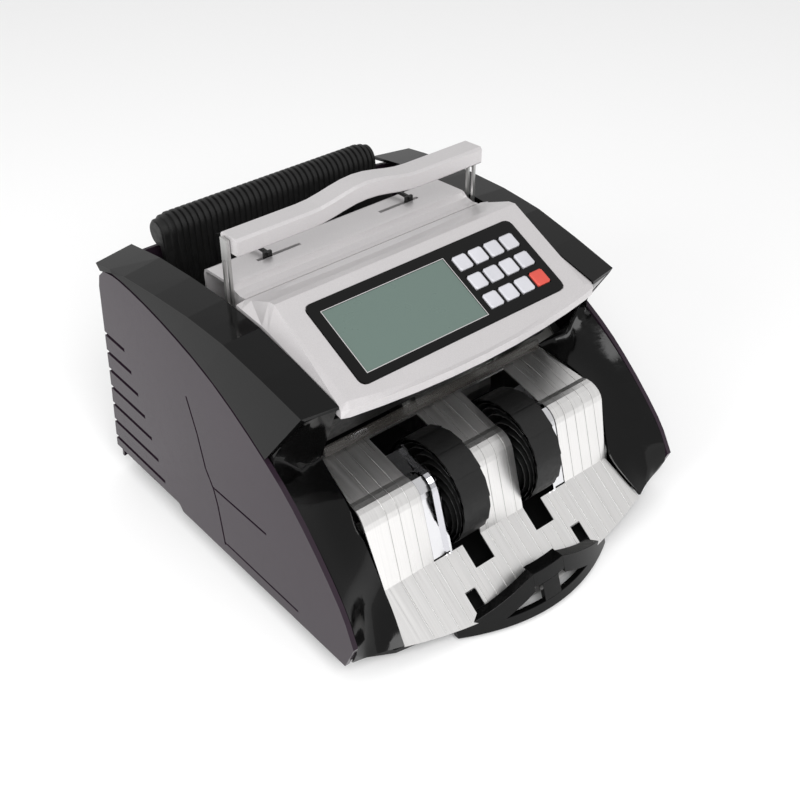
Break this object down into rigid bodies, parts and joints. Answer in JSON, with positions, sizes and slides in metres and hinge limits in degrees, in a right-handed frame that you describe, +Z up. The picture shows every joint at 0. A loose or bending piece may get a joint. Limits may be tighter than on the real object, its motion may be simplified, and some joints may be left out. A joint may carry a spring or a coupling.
{
  "type": "banknote counting machine",
  "caption": "Desktop banknote counter with a rear hopper, a tilted keypad console, a raised carrying handle and a front stacker with impeller wheels.",
  "frame": {"origin": "centre of the footprint on the table, under the rubber feet", "axes": "+X to the operator's right when facing the console, -Y towards the operator, +Z up"},
  "size_m": [0.3, 0.336, 0.2418],
  "materials": {
    "plum_gloss": "moulded, glossy dark plum",
    "black_gloss": "moulded, piano black",
    "black_plastic": "moulded, fine grain",
    "silver_satin": "satin silver paint",
    "brushed_steel": "brushed front to back",
    "polished_steel": "polished",
    "rubber": "matt",
    "smoked_clear": "smoked clear plastic",
    "lcd_glass": "grey green display glass",
    "key_white": "satin moulded",
    "key_red": "satin moulded",
    "circuit_board": "green solder mask",
    "zinc_steel": "zinc plated",
    "transformer": "varnished laminations"
  },
  "bodies": {
    "chassis": {"base_pan": "black_plastic", "rubber_foot_1": "rubber", "rubber_foot_2": "rubber", "rubber_foot_3": "rubber", "rubber_foot_4": "rubber", "side_panel_left": "plum_gloss", "side_panel_right": "plum_gloss", "rear_cover": "plum_gloss", "wing_cover_left": "black_gloss", "wing_cover_right": "black_gloss", "cheek_left": "black_gloss", "cheek_right": "black_gloss", "front_stop": "black_gloss", "side_frame_left": "zinc_steel", "side_frame_right": "zinc_steel", "stacker_plate": "brushed_steel", "guide_strip_left": "polished_steel", "guide_strip_right": "polished_steel", "outlet_guard": "smoked_clear", "outlet_hood": "black_plastic", "hopper_front_plate": "silver_satin", "hopper_floor": "black_plastic", "hopper_back_plate": "black_plastic", "handle_screw_left": "zinc_steel", "handle_screw_right": "zinc_steel", "main_motor": "zinc_steel", "drive_belt": "rubber", "power_transformer": "transformer", "main_board": "circuit_board", "power_inlet": "black_plastic"},
    "console": {"console_housing": "silver_satin", "display_panel": "black_gloss", "lcd_module": "lcd_glass", "key_board": "circuit_board"},
    "handle": {"handle_bar": "silver_satin", "handle_arm_left": "zinc_steel", "handle_arm_right": "zinc_steel"},
    "guide_left": {"note_guide_left": "black_plastic"},
    "guide_right": {"note_guide_right": "black_plastic"},
    "impeller_axle": {"impeller_shaft": "zinc_steel", "impeller_left": "black_plastic", "impeller_right": "black_plastic"},
    "count_axle": {"count_shaft": "rubber"},
    "feed_axle": {"feed_shaft": "rubber"},
    "pickup_axle": {"pickup_shaft": "rubber"},
    "motor_rotor": {"motor_pulley": "zinc_steel"},
    "switch_rocker": {"power_switch": "black_plastic"},
    "knob": {"gap_knob": "black_plastic"},
    "key_1_cap": {"key_1": "key_white"},
    "key_2_cap": {"key_2": "key_white"},
    "key_3_cap": {"key_3": "key_white"},
    "key_4_cap": {"key_4": "key_white"},
    "key_5_cap": {"key_5": "key_white"},
    "key_6_cap": {"key_6": "key_white"},
    "key_7_cap": {"key_7": "key_white"},
    "key_8_cap": {"key_8": "key_white"},
    "key_9_cap": {"key_9": "key_white"},
    "key_10_cap": {"key_10": "key_white"},
    "key_11_cap": {"key_11": "key_white"},
    "key_12_cap": {"key_12": "key_red"}
  },
  "joints": [
    {"name": "console_hinge", "type": "hinge", "parent": "chassis", "child": "console", "pos_m": [0, 0.0278, 0.1942], "axis": [-1, 0, 0], "range_deg": [0, 50]},
    {"name": "handle_slide", "type": "slide", "parent": "chassis", "child": "handle", "axis": [0, 0, -1], "range_m": [0, 0.022]},
    {"name": "guide_left_slide", "type": "slide", "parent": "chassis", "child": "guide_left", "axis": [-1, 0, 0], "range_m": [-0.022, 0.005]},
    {"name": "guide_right_slide", "type": "slide", "parent": "chassis", "child": "guide_right", "axis": [1, 0, 0], "range_m": [-0.022, 0.005]},
    {"name": "count_spin", "type": "hinge", "parent": "chassis", "child": "count_axle", "pos_m": [0, -0.009, 0.11], "axis": [1, 0, 0], "continuous": true},
    {"name": "impeller_spin", "type": "hinge", "parent": "chassis", "child": "impeller_axle", "pos_m": [0, -0.083, 0.072], "axis": [1, 0, 0], "continuous": true},
    {"name": "feed_spin", "type": "hinge", "parent": "chassis", "child": "feed_axle", "pos_m": [0, 0.051, 0.106], "axis": [1, 0, 0], "continuous": true},
    {"name": "pickup_spin", "type": "hinge", "parent": "chassis", "child": "pickup_axle", "pos_m": [0, 0.093, 0.104], "axis": [1, 0, 0], "continuous": true},
    {"name": "motor_spin", "type": "hinge", "parent": "chassis", "child": "motor_rotor", "pos_m": [0, 0.021, 0.05], "axis": [1, 0, 0], "continuous": true},
    {"name": "switch_rock", "type": "hinge", "parent": "chassis", "child": "switch_rocker", "pos_m": [-0.027, 0.158, 0.051], "axis": [1, 0, 0], "range_deg": [0, 8]},
    {"name": "knob_turn", "type": "hinge", "parent": "chassis", "child": "knob", "pos_m": [0, 0.16, 0.138], "axis": [0, 1, 0], "range_deg": [-150, 150]},
    {"name": "key_1_press", "type": "slide", "parent": "console", "child": "key_1_cap", "axis": [0, 0.4289, -0.9033], "range_m": [0, 0.001], "stiffness_N_per_m": 200},
    {"name": "key_2_press", "type": "slide", "parent": "console", "child": "key_2_cap", "axis": [0, 0.4289, -0.9033], "range_m": [0, 0.001], "stiffness_N_per_m": 200},
    {"name": "key_3_press", "type": "slide", "parent": "console", "child": "key_3_cap", "axis": [0, 0.4289, -0.9033], "range_m": [0, 0.001], "stiffness_N_per_m": 200},
    {"name": "key_4_press", "type": "slide", "parent": "console", "child": "key_4_cap", "axis": [0, 0.4289, -0.9033], "range_m": [0, 0.001], "stiffness_N_per_m": 200},
    {"name": "key_5_press", "type": "slide", "parent": "console", "child": "key_5_cap", "axis": [0, 0.4289, -0.9033], "range_m": [0, 0.001], "stiffness_N_per_m": 200},
    {"name": "key_6_press", "type": "slide", "parent": "console", "child": "key_6_cap", "axis": [0, 0.4289, -0.9033], "range_m": [0, 0.001], "stiffness_N_per_m": 200},
    {"name": "key_7_press", "type": "slide", "parent": "console", "child": "key_7_cap", "axis": [0, 0.4289, -0.9033], "range_m": [0, 0.001], "stiffness_N_per_m": 200},
    {"name": "key_8_press", "type": "slide", "parent": "console", "child": "key_8_cap", "axis": [0, 0.4289, -0.9033], "range_m": [0, 0.001], "stiffness_N_per_m": 200},
    {"name": "key_9_press", "type": "slide", "parent": "console", "child": "key_9_cap", "axis": [0, 0.4289, -0.9033], "range_m": [0, 0.001], "stiffness_N_per_m": 200},
    {"name": "key_10_press", "type": "slide", "parent": "console", "child": "key_10_cap", "axis": [0, 0.4289, -0.9033], "range_m": [0, 0.001], "stiffness_N_per_m": 200},
    {"name": "key_11_press", "type": "slide", "parent": "console", "child": "key_11_cap", "axis": [0, 0.4289, -0.9033], "range_m": [0, 0.001], "stiffness_N_per_m": 200},
    {"name": "key_12_press", "type": "slide", "parent": "console", "child": "key_12_cap", "axis": [0, 0.4289, -0.9033], "range_m": [0, 0.001], "stiffness_N_per_m": 200}
  ],
  "couplings": [
    {"joint": "impeller_spin", "follows": "count_spin", "ratio": 0.8},
    {"joint": "feed_spin", "follows": "count_spin", "ratio": 0.66667},
    {"joint": "pickup_spin", "follows": "count_spin", "ratio": 0.8},
    {"joint": "motor_spin", "follows": "count_spin", "ratio": 1}
  ]
}
